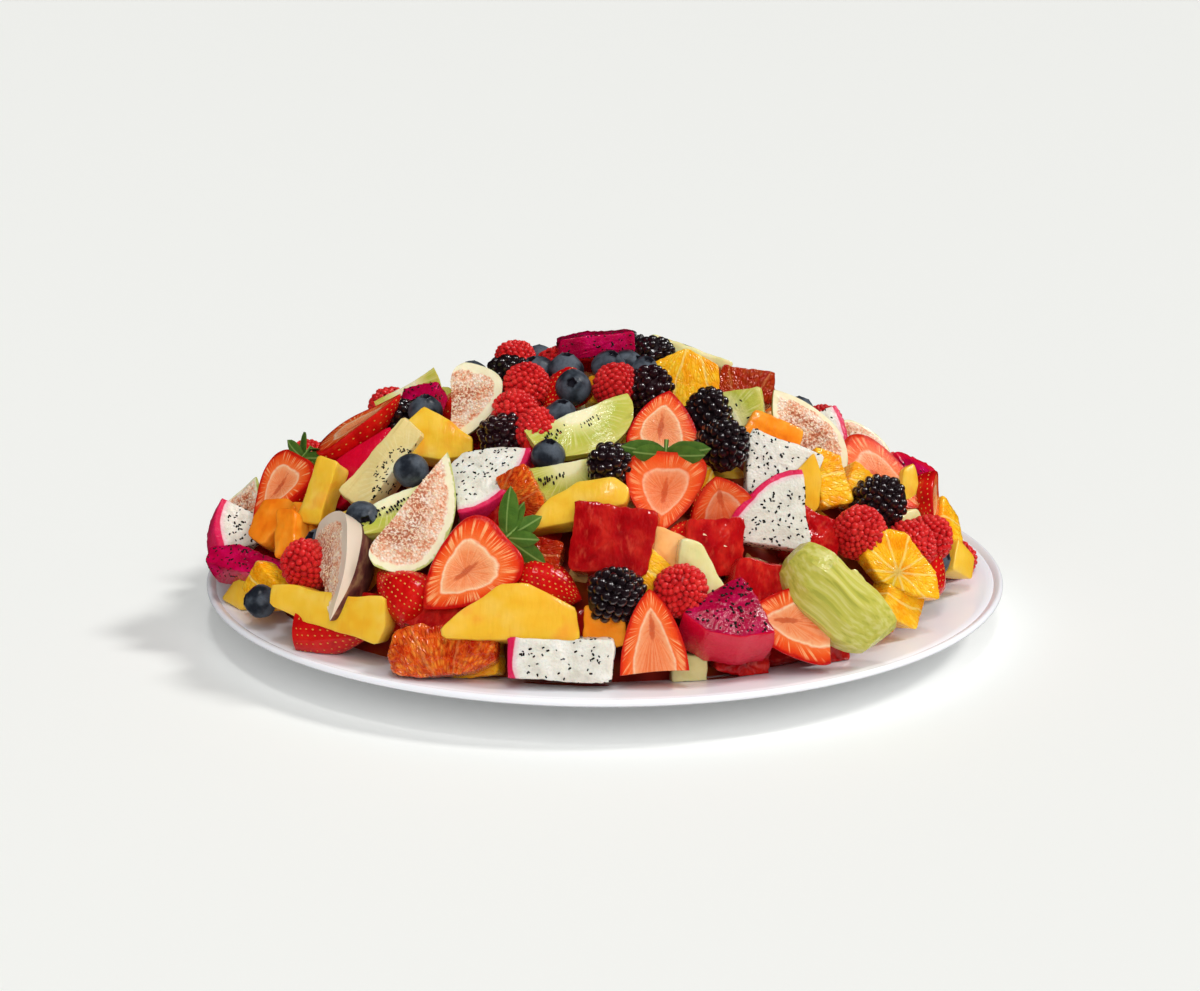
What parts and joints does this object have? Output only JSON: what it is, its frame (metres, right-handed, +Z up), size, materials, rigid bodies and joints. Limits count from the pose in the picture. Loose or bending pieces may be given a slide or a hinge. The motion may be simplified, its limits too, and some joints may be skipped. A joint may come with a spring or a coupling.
{
  "type": "fruit salad on a serving plate",
  "caption": "Fruit salad of cut fruit and berries, heaped in an oval dome on a round white serving plate with a foot ring.",
  "frame": {"origin": "on the table under the plate's centre, at the bottom centre of the whole", "axes": "+Z up; +X along the heap's longer side, to the viewer's right; -Y towards the viewer"},
  "size_m": [0.4, 0.4, 0.1446],
  "materials": {
    "plate_white": "smooth white melamine, softly glossy",
    "fruit_mixed": null,
    "strawberry": "glossy red skin with small seeds, orange-red cut face with pale rays",
    "strawberry_leaf": "green leaf with pale veins",
    "raspberry": "red drupelets with a fine bloom",
    "bramble": "glossy black drupelets",
    "blueberry": "dark blue skin with a pale bloom",
    "kiwi": "green flesh, pale core, black seeds",
    "mango": "smooth yellow flesh",
    "pitaya_white": "white flesh with black seeds and pink rind",
    "pitaya_red": "magenta flesh with black seeds",
    "fig": "pink seedy inside, cream pith, green and purple skin",
    "watermelon": "wet grainy red flesh",
    "orange": "wet orange segments with pale membranes",
    "blood_orange": "dark red segments, very wet",
    "papaya": "smooth orange flesh",
    "honeydew": "pale green melon flesh",
    "juice": "thin film of pink juice on the plate"
  },
  "bodies": {
    "root": {"plate": "plate_white", "fruit_heap": "fruit_mixed"}
  },
  "joints": []
}
